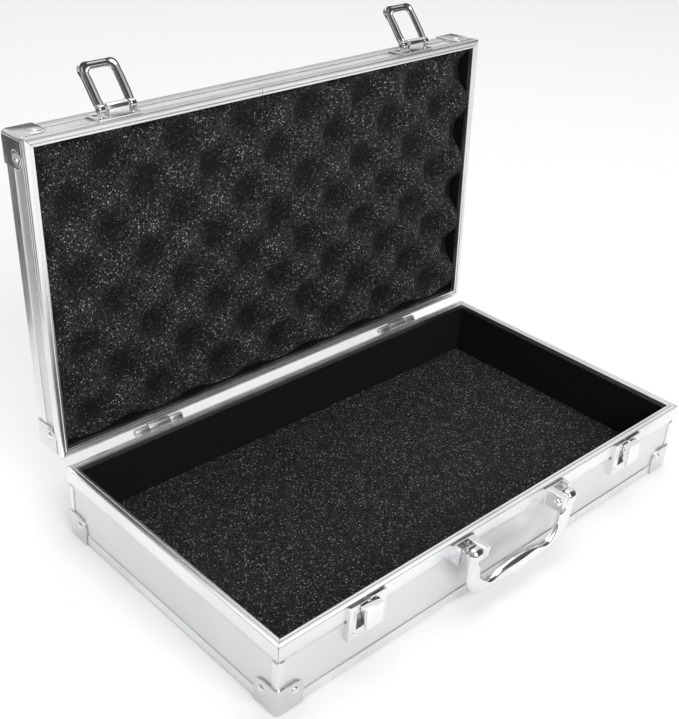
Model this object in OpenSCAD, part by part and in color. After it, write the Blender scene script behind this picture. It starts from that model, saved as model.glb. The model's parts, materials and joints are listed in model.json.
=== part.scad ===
// Aluminium poker chip case with a hinged lid, in millimetres, +Z up.
// The origin is the middle of the underside of the base. The front is at -Y.
// The lid is drawn shut, as a tray turned over, and then swung open about its hinge line.

/* [Case] */
// Outside width of the rims, left to right
case_w = 380; // [340:5:440]
// Outside depth of the rims, front to back
case_d = 209; // [190:1:260]
// Height of the base, from its underside to the rim
base_h = 52; // [50:1:80]
// Height of the lid, from its rim to its outer face
lid_h = 25.5; // [25:0.5:40]
// Gap left between the two rims when the case is shut
rim_gap = 0.4; // [0.3:0.1:0.8]

/* [Walls] */
// How far the wall panels stand back from the rims' outer faces
panel_inset = 1.2; // [1:0.1:1.6]
// Thickness of the laminated wall panels
panel_t = 2.8; // [2:0.1:3]
// Thickness of the floor panel and of the lid's top panel
floor_t = 3; // [2:0.1:4]
// Thickness of the black wall lining
liner_t = 1.2; // [0.8:0.1:1.4]
// Bend radius of the walls at the upright corners
wall_r = 6; // [4.5:0.5:7]
// Top of the foam pad in the base, above the underside
pad_top = 12; // [8:0.5:16]
// Depth of the lid foam's peaks below the lid's rim
foam_peak = 1.5; // [1:0.1:3]

/* [Extrusions] */
// Width of the rims' flat faces
rim_w = 5.5; // [5.4:0.1:8]
// Thickness of the extruded sections
rim_t = 1.2; // [1:0.1:1.2]
// Height of the band that the base rim lays over the walls
base_band = 13; // [11:0.5:15]
// Height of the band that the lid rim lays over the walls
lid_band = 8; // [6:0.5:9]
// Height of the edge rails round the base's floor
base_rail = 8; // [6:0.5:10]
// Height of the edge rails round the lid's outer face
lid_rail = 9.5; // [7:0.5:10]

/* [Corner protectors] */
// Length of a protector's legs along the case
corner_leg = 19.5; // [18:0.5:26]
// Height of the protectors on the base
base_corner_h = 19; // [16:0.5:26]
// Height of the protectors on the lid
lid_corner_h = 21; // [16:0.5:23]
// Distance of a protector's rivet from the upright edge
rivet_in = 13; // [9:0.5:14]

/* [Hinges] */
// How far the lid stands open, in degrees
open_angle = 92.6; // [0:0.1:95]
// Distance from the middle of the case to the middle of each hinge
hinge_x = 115.5; // [80:0.5:140]
// Width of each hinge
hinge_w = 38; // [30:1:50]
// Distance of the hinge line behind the rims
hinge_back = 3.4; // [3:0.1:5]

/* [Latches] */
// Distance from the middle of the case to the middle of each latch
latch_x = 125.5; // [90:0.5:140]
// Width of the latch plates and of the hasp brackets
plate_w = 29.5; // [26:0.5:34]
// Length of a hasp from its pin to its free end
hasp_len = 30; // [30:0.5:32]
// Outside width of a hasp
hasp_w = 27.6; // [26:0.2:29]
// Lean of the hasps off the lid's front face, towards its outer face, in degrees
hasp_lean = 39; // [0:1:45]
// Width of the sprung hook that a hasp drops over
hook_w = 13; // [11:0.5:13]

/* [Handle] */
// Distance between the middles of the handle's two eyes
handle_w = 93; // [88:1:110]
// Distance from the handle's pins to the middle of its corners
handle_drop = 32; // [30:1:34]
// Width of the handle's legs
leg_w = 11.5; // [10:0.5:12]
// Thickness of the handle's legs
leg_t = 6; // [5:0.5:7]
// Depth of the grip in the middle, across the palm
grip_w = 12.6; // [11:0.2:14]
// Thickness of the grip in the middle
grip_t = 9.4; // [8:0.2:10]

/* [Hidden] */
$fn = 48;
half_w = case_w / 2;
half_d = case_d / 2;
lid_z = base_h + rim_gap;             // height of the lid's rim when shut
hinge_y = half_d + hinge_back;
hinge_z = base_h + rim_gap / 2;
far = 1000;                           // larger than the whole case, for cutting

// insets from the rims' outer faces
rail_inset = 0.4;
rail_t = panel_inset - rail_inset;    // the rails lie on the wall panels
liner_inset = panel_inset + panel_t;
corner_t = 0.8;                       // sheet thickness of the protectors
rim_r = 2.5;                          // softening of the rims' mitred corners
rail_foot = 8;                        // how far a rail reaches under the floor
lip_h = 4;                            // depth of the rims' inner lip
groove_d = 0.35;                      // shadow grooves in the rims' faces
groove_w = 0.45;
groove_at = [1.5, 3.4];
rim_slope = 0.28;                     // share of the band that slopes in to the wall

// corner rivets
rivet_r = 2.6;
rivet_h = 1.1;
rivet_shank_r = 1.4;
rivet_shank = 3;
rivet_down = 6.5;                     // rivets below a protector's free edge
post_leg = 5.5;                       // legs of the upright corner extrusions
corner_round = 7;                     // round end of a protector's legs

// hinges
leaf_t = 1;
leaf_h = 17;
barrel_r = 2.5;
hinge_pin_r = 1.25;
run_gap = 0.05;                       // radial play of a turning joint
side_gap = 0.3;                       // play along a pin
mid_knuckle = 17;                     // length of the lid's knuckle
hinge_rivet_x = 11;

// latches, as distances out from the rims' outer faces
plate_z = [27, 51];
plate_front = 2.5;
plate_t = 0.8;
plate_web = 1.4;                      // side walls of the plate
window_w = 18;
window_z = [33.3, 45];
hook_z = [34.6, 50];
hook_off = [2.9, 8];
hook_t = 1;
hook_arch_r = 3.6;                    // hollow under the hook's lip
hook_pin = [4.3, 46.6];               // out from the rim, and height
hook_pin_r = 0.9;
hook_lug_w = 4.4;
spring_wire = 0.5;
spring_pitch = 0.56;
spring_turns = 3;

// hasps
hasp_off = 5.5;                       // pin line, out from the rim
hasp_up = 6;                          // pin line, above the lid's rim
hasp_pin_r = 1.25;
hasp_eye_r = 2.9;
hasp_t = 2.2;
hasp_window = [15.6, 24.9];           // width, and distance from the pin to the far end
hasp_window_r = 3;
hasp_round = 4.5;
knuckle_w = 14;
knuckle_r = 3.2;
bracket_t = 1.2;
bracket_z = [1, 17];

// handle
eye_off = 11.5;                       // pin line, out from the rim
eye_z = 46.5;
eye_r = 5;
eye_x = handle_w / 2;
eye_half = 4.9;
handle_pin_r = 2;
pin_head_r = 2.6;
pin_head_l = 3.2;
arm_x = [36, eye_x - eye_half - side_gap];
arm_reach = 14.5;
arm_h = 11.5;
cheek_x = [eye_x + eye_half + side_gap, eye_x + eye_half + 2.8];
cheek_reach = 6.5;
bracket_top = 50.2;
bracket_low = 38.8;
bracket_back = 1.6;

// feet on the back of the case
foot_x = 156;
foot_r = 6;
foot_h = 4.5;
foot_dist = 11.5;                     // from the rim, on base and lid alike

// ---- placing ----

// the shut lid's frame, swung open about the hinge line
module in_lid() {
    translate([0, hinge_y, hinge_z]) rotate([-open_angle, 0, 0])
        translate([0, -hinge_y, -hinge_z]) children();
}

// a tray drawn mouth up, turned over to be the lid
module lid_tray() {
    in_lid() translate([0, 0, lid_z + lid_h]) mirror([0, 0, 1]) children();
}

// a flat outline of (distance, height) points carried along X or along Y
module along_x(len) {
    rotate([90, 0, 90]) linear_extrude(height = len, center = true) children();
}
module along_y(len) {
    rotate([90, 0, 0]) linear_extrude(height = len, center = true) children();
}

// ---- outlines ----

// rectangle with true round corners, inset from the rims' outer faces
module case_outline(inset, r) {
    w = case_w - 2 * inset;
    d = case_d - 2 * inset;
    square([w - 2 * r, d], center = true);
    square([w, d - 2 * r], center = true);
    for (x = [-1, 1], y = [-1, 1])
        translate([x * (w / 2 - r), y * (d / 2 - r)]) circle(r);
}

module case_block(inset, r, z0, z1) {
    translate([0, 0, z0]) linear_extrude(height = z1 - z0) case_outline(inset, r);
}

module ring(outer, outer_r, inner, inner_r, z0, z1) {
    translate([0, 0, z0]) linear_extrude(height = z1 - z0) difference() {
        case_outline(outer, outer_r);
        case_outline(inner, inner_r);
    }
}

// section of a rim: a channel over the wall's edge, with a deep outer band.
// u runs inwards from the outer face and v runs down from the rim's flat face.
function rim_section(band) = [
    [0, band * (1 - rim_slope)], [0, 0.5], [0.5, 0],
    for (g = groove_at, p = [[0, 0], [0, groove_d], [groove_w, groove_d], [groove_w, 0]])
        [g + p[0], p[1]],
    [rim_w - 0.3, 0], [rim_w, 0.3], [rim_w, lip_h], [rim_w - rim_t, lip_h],
    [rim_w - rim_t, rim_t], [rim_t, rim_t], [rim_t, band], [rim_t - 0.3, band]
];

// section of an edge rail: an angle with a rounded heel
function rail_section(h) = [
    [panel_inset, h], [rail_inset + 0.2, h], [rail_inset, h - 0.6], [rail_inset, 0.8],
    [rail_inset + 0.25, 0.25], [rail_inset + 0.8, 0],
    [rail_foot, 0], [rail_foot, rail_t], [panel_inset, rail_t]
];

// the zone of one side between the two mitred ends
module mitre(side, long, z1) {
    e = 2;
    m = rail_foot + e;
    a = long ? half_w : half_d;
    b = long ? half_d : half_w;
    pts = [[-a - e, b + e], [a + e, b + e], [a - m, b - m], [-a + m, b - m]];
    translate([0, 0, -e]) linear_extrude(height = z1 + 2 * e)
        polygon([for (p = pts) long ? [p[0], side * p[1]] : [side * p[1], p[0]]]);
}

// ---- the parts of a tray, drawn with its mouth up at height h ----

module tray_rim(side, long, h, band) {
    intersection() {
        if (long)
            along_x(case_w + 2) polygon(
                [for (p = rim_section(band)) [side * (half_d - p[0]), h - p[1]]]);
        else
            along_y(case_d + 2) polygon(
                [for (p = rim_section(band)) [side * (half_w - p[0]), h - p[1]]]);
        mitre(side, long, h);
        case_block(0, rim_r, 0, h + 1);
    }
}

module corner_pockets() {
    for (x = [-1, 1], y = [-1, 1])
        translate([x * half_w, y * half_d, 0])
            cube([2 * corner_leg, 2 * corner_leg, 2 * corner_t], center = true);
}

module tray_rails(rail_h) {
    difference() {
        intersection() {
            union() for (side = [-1, 1]) {
                intersection() {
                    along_x(case_w) polygon(
                        [for (p = rail_section(rail_h)) [side * (half_d - p[0]), p[1]]]);
                    mitre(side, true, rail_h);
                }
                intersection() {
                    along_y(case_d) polygon(
                        [for (p = rail_section(rail_h)) [side * (half_w - p[0]), p[1]]]);
                    mitre(side, false, rail_h);
                }
            }
            case_block(rail_inset, rim_r - rail_inset, -1, rail_h + 1);
        }
        corner_pockets();
    }
}

module tray_floor() {
    difference() {
        union() {
            case_block(panel_inset, wall_r, rail_t, floor_t);
            case_block(rail_foot, wall_r, 0, rail_t);
        }
        corner_pockets();
    }
}

module wall_ring(h) {
    ring(panel_inset, wall_r, liner_inset, wall_r - panel_t, floor_t, h - rim_t);
}

// the front and back panels stop where the end panels' bends begin
wall_joint = half_w - panel_inset - wall_r - 2;

module tray_long_wall(side, h) {
    intersection() {
        wall_ring(h);
        translate([0, side * half_d, 0]) cube([2 * wall_joint, case_d, far], center = true);
    }
}

module tray_end_walls(h) {
    difference() {
        wall_ring(h);
        cube([2 * wall_joint, far, far], center = true);
    }
}

module tray_liner(h, z0) {
    ring(liner_inset, wall_r - panel_t, liner_inset + liner_t, wall_r - panel_t - liner_t,
        z0, h - lip_h);
}

// side outline of a protector: a square leg whose far upper corner is a wide arc
module protector_leg(leg, high) {
    square([leg - corner_round, high]);
    square([leg, high - corner_round]);
    translate([leg - corner_round, high - corner_round]) circle(corner_round);
}

// one pressed protector, over two walls and the floor
module tray_corner(sx, sy, h, band, rail_h, corner_h) {
    skin = panel_inset + corner_t;
    difference() {
        intersection() {
            case_block(-rail_inset, rim_r + rail_inset, 0, corner_h);
            union() {
                // leg on the front or back wall
                translate([sx * half_w, sy * (half_d - skin / 2 + rail_inset), 0])
                    mirror([sx > 0 ? 1 : 0, 0, 0]) translate([-rail_inset, 0, 0])
                    rotate([90, 0, 0]) linear_extrude(height = skin, center = true)
                        protector_leg(corner_leg + rail_inset, corner_h);
                // leg on the end wall
                translate([sx * (half_w - skin / 2 + rail_inset), sy * half_d, 0])
                    mirror([0, sy > 0 ? 1 : 0, 0]) translate([0, -rail_inset, 0])
                    rotate([90, 0, 90]) linear_extrude(height = skin, center = true)
                        protector_leg(corner_leg + rail_inset, corner_h);
                // leg under the floor
                translate([sx * half_w, sy * half_d, 0])
                    mirror([sx > 0 ? 1 : 0, 0, 0]) mirror([0, sy > 0 ? 1 : 0, 0])
                    translate([-rail_inset, -rail_inset, 0]) linear_extrude(height = corner_t)
                        protector_leg(corner_leg + rail_inset, corner_leg + rail_inset);
            }
        }
        case_block(rail_inset, rim_r - rail_inset, corner_t, rail_h);
        case_block(panel_inset, wall_r, rail_h - 1, h);
        case_block(0, rim_r, h - band, h + 1);
    }
}

// domed rivet head on a shank, pointing out along +Z
module rivet(r, high, shank_r, shank) {
    ball = (r * r + high * high) / (2 * high);
    intersection() {
        translate([0, 0, high - ball]) sphere(ball);
        cylinder(r = r, h = high);
    }
    translate([0, 0, -shank]) cylinder(r = shank_r, h = shank);
}

module corner_rivets(corner_h) {
    z = corner_h - rivet_down;
    for (sx = [-1, 1], sy = [-1, 1]) {
        translate([sx * (half_w - rivet_in), sy * (half_d + rail_inset), z])
            rotate([sy < 0 ? 90 : -90, 0, 0])
            rivet(rivet_r, rivet_h, rivet_shank_r, rivet_shank);
        translate([sx * (half_w + rail_inset), sy * (half_d - rivet_in), z])
            rotate([0, 90 * sx, 0])
            rivet(rivet_r, rivet_h, rivet_shank_r, rivet_shank);
    }
}

// ---- base ----

module base_floor_panel() { color([0.80, 0.81, 0.82]) tray_floor(); }
module base_front_panel() { color([0.84, 0.84, 0.85]) tray_long_wall(-1, base_h); }
module base_back_panel() { color([0.84, 0.84, 0.85]) tray_long_wall(1, base_h); }
module base_end_panels() { color([0.84, 0.84, 0.85]) tray_end_walls(base_h); }
module base_wall_liner() { color([0.04, 0.04, 0.04]) tray_liner(base_h, floor_t); }
module base_foam_pad() {
    inset = liner_inset + liner_t;
    color([0.09, 0.09, 0.09])
        case_block(inset, wall_r - panel_t - liner_t, floor_t, pad_top);
}
module base_rim(side, long) {
    color([0.88, 0.88, 0.89]) tray_rim(side, long, base_h, base_band);
}
module base_edge_rails() { color([0.86, 0.86, 0.87]) tray_rails(base_rail); }
module base_corner(sx, sy) {
    color([0.78, 0.79, 0.80])
        tray_corner(sx, sy, base_h, base_band, base_rail, base_corner_h);
}
// upright corner extrusions between the protectors and the rim: square outside, and
// rounded inside to sit on the walls
module base_corner_posts() {
    color([0.86, 0.86, 0.87]) intersection() {
        ring(rail_inset, rim_r - rail_inset, panel_inset, wall_r,
            base_corner_h, base_h - base_band);
        for (x = [-1, 1], y = [-1, 1])
            translate([x * half_w, y * half_d, base_h / 2])
                cube([2 * post_leg, 2 * post_leg, base_h], center = true);
    }
}
module base_corner_rivets() { color([0.75, 0.76, 0.77]) corner_rivets(base_corner_h); }

// rubber foot with a waisted edge, pointing out along +Z
module foot() {
    cylinder(r = foot_r, h = foot_h * 0.55);
    cylinder(r = foot_r - 0.8, h = foot_h);
}
module base_feet() {
    color([0.05, 0.05, 0.05]) for (x = [-foot_x, foot_x])
        translate([x, half_d, base_h - foot_dist + foot_r / 3]) rotate([-90, 0, 0]) foot();
}

// ---- lid ----

module lid_top_panel() { color([0.80, 0.81, 0.82]) lid_tray() tray_floor(); }
module lid_front_panel() { color([0.84, 0.84, 0.85]) lid_tray() tray_long_wall(-1, lid_h); }
module lid_back_panel() { color([0.84, 0.84, 0.85]) lid_tray() tray_long_wall(1, lid_h); }
module lid_end_panels() { color([0.84, 0.84, 0.85]) lid_tray() tray_end_walls(lid_h); }
module lid_wall_liner() { color([0.04, 0.04, 0.04]) lid_tray() tray_liner(lid_h, floor_t); }
module lid_foam() {
    inset = liner_inset + liner_t + 0.5;
    color([0.09, 0.09, 0.09]) lid_tray()
        case_block(inset, wall_r - panel_t - liner_t, floor_t, lid_h - foam_peak);
}
module lid_rim(side, long) {
    color([0.88, 0.88, 0.89]) lid_tray() tray_rim(side, long, lid_h, lid_band);
}
module lid_edge_rails() { color([0.86, 0.86, 0.87]) lid_tray() tray_rails(lid_rail); }
module lid_corner(sx, sy) {
    color([0.78, 0.79, 0.80]) lid_tray()
        tray_corner(sx, sy, lid_h, lid_band, lid_rail, lid_corner_h);
}
module lid_corner_rivets() {
    color([0.75, 0.76, 0.77]) lid_tray() corner_rivets(lid_corner_h);
}
module lid_feet() {
    color([0.05, 0.05, 0.05]) in_lid() for (x = [-foot_x, foot_x])
        translate([x, half_d, lid_z + foot_dist]) rotate([-90, 0, 0]) foot();
}

// ---- hinges ----

// a leaf on the outside of the back wall with its knuckles. up = -1 is the base's leaf.
module hinge_leaf(side, up, spans) {
    z0 = up * rim_gap / 2;
    leaf = [leaf_t, leaf_h];
    translate([side * hinge_x, hinge_y, hinge_z]) difference() {
        union() {
            translate([0, -hinge_back + leaf_t / 2, up * (barrel_r + 0.6 + leaf_h / 2)])
                cube([hinge_w, leaf_t, leaf_h], center = true);
            for (s = spans) translate([s[0], 0, 0]) {
                rotate([0, 90, 0]) cylinder(r = barrel_r, h = s[1] - s[0]);
                translate([0, -hinge_back, up > 0 ? z0 : -barrel_r - 1])
                    cube([s[1] - s[0], leaf_t, barrel_r + 1 - abs(z0)]);
                translate([0, -hinge_back, up > 0 ? z0 : -barrel_r])
                    cube([s[1] - s[0], hinge_back, barrel_r - abs(z0)]);
            }
        }
        rotate([0, 90, 0])
            cylinder(r = hinge_pin_r + run_gap, h = 2 * hinge_w, center = true);
    }
}
outer_spans = [[-hinge_w / 2, -mid_knuckle / 2 - side_gap],
               [mid_knuckle / 2 + side_gap, hinge_w / 2]];
mid_span = [[-mid_knuckle / 2, mid_knuckle / 2]];

module hinge_base_leaf(side) { color([0.72, 0.73, 0.74]) hinge_leaf(side, -1, outer_spans); }
module hinge_lid_leaf(side) {
    color([0.72, 0.73, 0.74]) in_lid() hinge_leaf(side, 1, mid_span);
}
module hinge_pins() {
    color([0.6, 0.6, 0.6]) for (side = [-1, 1])
        translate([side * hinge_x, hinge_y, hinge_z]) rotate([0, 90, 0])
            cylinder(r = hinge_pin_r, h = hinge_w, center = true);
}
module hinge_rivets(up) {
    for (side = [-1, 1], x = [-hinge_rivet_x, hinge_rivet_x])
        translate([side * hinge_x + x, half_d + leaf_t,
                   hinge_z + up * (barrel_r + 0.6 + leaf_h / 2)])
            rotate([-90, 0, 0]) rivet(2, 0.9, 1.2, rivet_shank);
}
module base_hinge_rivets() { color([0.75, 0.76, 0.77]) hinge_rivets(-1); }
module lid_hinge_rivets() { color([0.75, 0.76, 0.77]) in_lid() hinge_rivets(1); }

// ---- latches on the base, drawn about the middle of one latch ----

module at_latch(side) { translate([side * latch_x, -half_d, 0]) children(); }

// a block given by its width about X = 0, its reach out from the rim and its heights
module out_block(w, off0, off1, z0, z1) {
    translate([-w / 2, -off1, z0]) cube([w, off1 - off0, z1 - z0]);
}

module latch_plate(side) {
    color([0.80, 0.80, 0.81]) at_latch(side) {
        difference() {
            out_block(plate_w, -panel_inset, plate_front, plate_z[0], plate_z[1]);
            out_block(plate_w - 2 * plate_web, -2 * panel_inset, plate_front - plate_t,
                plate_z[0] + plate_web, plate_z[1] + 1);
            // the base rim's band runs behind the upper half of the plate
            out_block(2 * plate_w, -2 * panel_inset, 0, base_h - base_band, base_h);
            out_block(window_w, 0, 2 * plate_front, window_z[0], window_z[1]);
            translate([0, -plate_front, plate_z[1]]) rotate([90, 0, 0])
                cylinder(r = 1.6, h = 4, center = true);
        }
        // lug that carries the hook's pin, inside the hook
        difference() {
            union() {
                out_block(hook_lug_w, plate_front - plate_t, hook_pin[0],
                    hook_pin[1] - 1.5, hook_pin[1] + 1.8);
                translate([0, -hook_pin[0], hook_pin[1]]) rotate([0, 90, 0])
                    cylinder(r = 1.8, h = hook_lug_w, center = true);
            }
            translate([0, -hook_pin[0], hook_pin[1]]) rotate([0, 90, 0])
                cylinder(r = hook_pin_r, h = 2 * hook_lug_w, center = true);
        }
    }
}

// the sprung hook: a pressed hood with a flat top, an arched lower edge and two cheeks
module latch_hook(side) {
    color([0.80, 0.80, 0.81]) at_latch(side) difference() {
        out_block(hook_w, hook_off[0], hook_off[1], hook_z[0], hook_z[1]);
        out_block(hook_w - 2 * hook_t, 0, hook_off[1] - hook_t,
            hook_z[0] - 1, hook_z[1] - hook_t);
        // arched underside, so that the lower lip is hollow
        translate([0, -hook_off[0], hook_z[0]]) rotate([0, 90, 0])
            cylinder(r = hook_arch_r, h = 2 * hook_w, center = true);
        translate([0, -hook_pin[0], hook_pin[1]]) rotate([0, 90, 0])
            cylinder(r = hook_pin_r + run_gap, h = 2 * hook_w, center = true);
    }
}

module latch_pins() {
    color([0.6, 0.6, 0.6]) for (side = [-1, 1]) at_latch(side)
        translate([0, -hook_pin[0], hook_pin[1]]) rotate([0, 90, 0])
            cylinder(r = hook_pin_r, h = hook_w - 0.2, center = true);
}

// torsion springs, as close turns of wire round the pin on both sides of the lug
module latch_springs() {
    color([0.55, 0.55, 0.56]) for (side = [-1, 1], s = [-1, 1], i = [0 : spring_turns - 1])
        at_latch(side)
            translate([s * (hook_lug_w / 2 + spring_pitch * (i + 0.6)), -hook_pin[0],
                       hook_pin[1]])
            rotate([0, 90, 0]) rotate_extrude()
                translate([hook_pin_r + 0.1 + spring_wire / 2, 0]) circle(spring_wire / 2);
}

// rivets that hold the latch plates and the handle brackets
module front_rivets() {
    color([0.75, 0.76, 0.77]) {
        for (side = [-1, 1], x = [-11.4, 11.4])
            at_latch(side) translate([x, -plate_front, 30.6]) rotate([90, 0, 0])
                rivet(1.5, 0.5, 1, 5);
        for (side = [-1, 1])
            translate([side * (arm_x[1] + cheek_x[0]) / 2, -half_d - bracket_back,
                       bracket_low + 3])
                rotate([90, 0, 0]) rivet(1.8, 0.7, 1.2, 4);
    }
}

// ---- hasps on the lid ----

module at_hasp(side) {
    translate([side * latch_x, -half_d - hasp_off, lid_z + hasp_up]) children();
}

module hasp_bracket(side) {
    color([0.80, 0.80, 0.81]) in_lid() difference() {
        union() {
            translate([side * latch_x, -half_d, lid_z])
                out_block(plate_w, 0, bracket_t, bracket_z[0], bracket_z[1]);
            at_hasp(side) {
                rotate([0, 90, 0]) cylinder(r = knuckle_r, h = knuckle_w, center = true);
                translate([-knuckle_w / 2, 0, -knuckle_r])
                    cube([knuckle_w, hasp_off - bracket_t, 2 * knuckle_r]);
            }
        }
        at_hasp(side) rotate([0, 90, 0])
            cylinder(r = hasp_pin_r, h = 2 * plate_w, center = true);
        // slot beside the knuckle
        for (x = [-1, 1]) translate([side * latch_x + x * 11, -half_d, lid_z + 12])
            cube([4.5, 4 * bracket_t, 1.8], center = true);
    }
}

// the hasp, drawn hanging shut with its pin at the origin
module hasp_shape() {
    side_w = (hasp_w - hasp_window[0]) / 2;
    difference() {
        union() {
            rotate([90, 0, 0]) linear_extrude(height = hasp_t, center = true) difference() {
                union() {
                    translate([-hasp_w / 2, -hasp_len + hasp_round])
                        square([hasp_w, hasp_len - hasp_round]);
                    translate([-hasp_w / 2 + hasp_round, -hasp_len])
                        square([hasp_w - 2 * hasp_round, hasp_round]);
                    for (x = [-1, 1])
                        translate([x * (hasp_w / 2 - hasp_round), -hasp_len + hasp_round])
                            circle(hasp_round);
                }
                translate([-hasp_window[0] / 2, -hasp_window[1] + hasp_window_r])
                    square([hasp_window[0], far]);
                translate([-hasp_window[0] / 2 + hasp_window_r, -hasp_window[1]])
                    square([hasp_window[0] - 2 * hasp_window_r, far]);
                for (x = [-1, 1])
                    translate([x * (hasp_window[0] / 2 - hasp_window_r),
                               -hasp_window[1] + hasp_window_r]) circle(hasp_window_r);
            }
            for (x = [-1, 1]) translate([x * (hasp_w - side_w) / 2, 0, 0]) rotate([0, 90, 0])
                cylinder(r = hasp_eye_r, h = side_w, center = true);
            // thumb lip turned out from the free end
            translate([0, -hasp_t / 2 - 1.1, -hasp_len + 0.9])
                cube([hasp_w - 2 * hasp_round, 2.6, 1.8], center = true);
        }
        rotate([0, 90, 0])
            cylinder(r = hasp_pin_r + run_gap, h = 2 * hasp_w, center = true);
    }
}
module hasp(side) {
    color([0.80, 0.80, 0.81]) in_lid() at_hasp(side) rotate([-90 - hasp_lean, 0, 0])
        hasp_shape();
}
module hasp_pins() {
    color([0.6, 0.6, 0.6]) in_lid() for (side = [-1, 1]) at_hasp(side) rotate([0, 90, 0])
        cylinder(r = hasp_pin_r, h = hasp_w - 0.4, center = true);
}
module hasp_rivets() {
    color([0.75, 0.76, 0.77]) in_lid() for (side = [-1, 1], x = [-11, 11])
        translate([side * latch_x + x, -half_d - bracket_t, lid_z + 5.5])
            rotate([90, 0, 0]) rivet(1.7, 0.6, 1.1, 4);
}

// ---- handle ----

// a wall plate with a deep inner arm that carries the pin, and a low outer cheek
module handle_bracket(side) {
    color([0.82, 0.82, 0.83]) mirror([side < 0 ? 1 : 0, 0, 0]) translate([0, -half_d, 0])
        difference() {
            union() {
                span(arm_x[0] - 1.5, cheek_x[1], 0, bracket_back, bracket_low, bracket_top);
                span(arm_x[0], arm_x[1], 0, arm_reach - 4, bracket_top - arm_h, bracket_top);
                span(arm_x[0], arm_x[1], 0, arm_reach, bracket_top - 7, bracket_top);
                translate([arm_x[0], -arm_reach + 4.5, bracket_top - 7]) rotate([0, 90, 0])
                    cylinder(r = 4.5, h = arm_x[1] - arm_x[0]);
                span(cheek_x[0], cheek_x[1], 0, cheek_reach, bracket_low, bracket_top);
            }
            translate([0, -eye_off, eye_z]) rotate([0, 90, 0])
                cylinder(r = handle_pin_r, h = case_w, center = true);
        }
}
module span(x0, x1, off0, off1, z0, z1) {
    translate([x0, -off1, z0]) cube([x1 - x0, off1 - off0, z1 - z0]);
}

module handle_pins() {
    color([0.7, 0.7, 0.71]) for (side = [-1, 1]) mirror([side < 0 ? 1 : 0, 0, 0])
        translate([arm_x[0], -half_d - eye_off, eye_z]) rotate([0, 90, 0]) {
            cylinder(r = handle_pin_r, h = eye_x + eye_half - 1 - arm_x[0]);
            translate([0, 0, -pin_head_l + 1.2]) cylinder(r = pin_head_r, h = pin_head_l - 1.2);
            translate([0, 0, -pin_head_l]) cylinder(r = pin_head_r - 0.7, h = 2);
        }
}

// half of the handle's line from the eye to the middle of the grip, as (x, drop) points:
// a straight leg that leans in, a round corner, and a grip that rises in the middle
corner_out = 17;                      // radius of the corner
leg_lean = 2;                         // how far the leg leans in by the corner
corner_x = eye_x - leg_lean - corner_out;
grip_rise = 2.2;                      // the middle of the grip lies this much nearer the pins
leg_slim = 2.7;                       // how much slimmer the leg is beside the bracket's arm
leg_steps = 8;
corner_steps = 8;
grip_steps = 10;
// 0 at drops beside the arm, rising smoothly to 1 at the given drop
function below_arm(d, end) = let (start = arm_h - bracket_top + eye_z,
                                  t = max(0, min(1, (d - start) / (end - start))))
    t * t * (3 - 2 * t);
half_line = concat(
    [for (i = [0 : leg_steps - 1]) let (d = 3 + (handle_drop - corner_out - 3) * i / leg_steps)
        [eye_x - leg_lean * below_arm(d, handle_drop - corner_out), d]],
    [for (i = [0 : corner_steps - 1]) let (a = 90 * i / corner_steps)
        [corner_x + corner_out * cos(a), handle_drop - corner_out + corner_out * sin(a)]],
    [for (i = [0 : grip_steps]) let (t = i / grip_steps)
        [corner_x * (1 - t), handle_drop - grip_rise * (1 - cos(180 * t)) / 2]]);
line = concat(half_line,
    [for (i = [len(half_line) - 2 : -1 : 0]) [-half_line[i][0], half_line[i][1]]]);
last = len(line) - 1;
// swelling of the section: 0 on the legs, 1 in the middle of the grip
function swell(i) = let (x = abs(line[i][0]) / corner_x) x >= 1 ? 0 : (1 + cos(180 * x)) / 2;
function heading(i) = let (a = line[max(i - 1, 0)], b = line[min(i + 1, last)])
    atan2(b[1] - a[1], b[0] - a[0]);
sides = 20;
neck = 4.5;                           // how much the section draws in at the grip's ends
slim_end = 14;                        // the drop at which the leg has its full width
function section_ring(i) = let (w = leg_w + (grip_w - leg_w) * swell(i) - neck * narrow(i)
                                    - leg_slim * (1 - below_arm(line[i][1], slim_end)),
                                t = leg_t + (grip_t - leg_t) * swell(i), d = heading(i))
    [for (k = [0 : sides - 1]) let (a = 360 * k / sides, across = w / 2 * cos(a))
        [line[i][0] - across * sin(d), t / 2 * sin(a), -(line[i][1] + across * cos(d))]];
// the section draws in to a neck at both ends of the grip
function narrow(i) = let (x = abs(line[i][0]) / corner_x) line[i][1] < handle_drop / 2 ? 0 :
    exp(-pow((x - 1) / 0.3, 2));
ring_points = [for (i = [0 : last]) each section_ring(i)];
skin_faces = [for (i = [0 : last - 1], k = [0 : sides - 1]) let (n = (k + 1) % sides)
    [i * sides + k, (i + 1) * sides + k, (i + 1) * sides + n, i * sides + n]];
end_faces = [[for (k = [0 : sides - 1]) k],
             [for (k = [sides - 1 : -1 : 0]) last * sides + k]];

module handle() {
    color([0.80, 0.80, 0.81]) translate([0, -half_d - eye_off, eye_z]) difference() {
        union() {
            polyhedron(ring_points, concat(skin_faces, end_faces), convexity = 6);
            for (s = [-1, 1]) translate([s * eye_x, 0, 0]) rotate([0, 90, 0])
                cylinder(r = eye_r, h = 2 * eye_half, center = true);
        }
        for (s = [-1, 1]) translate([s * (eye_x - 1), 0, 0]) rotate([0, 90, 0])
            cylinder(r = handle_pin_r + run_gap, h = 2 * eye_half + 0.6, center = true);
    }
}

// ---- nodes ----

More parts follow.
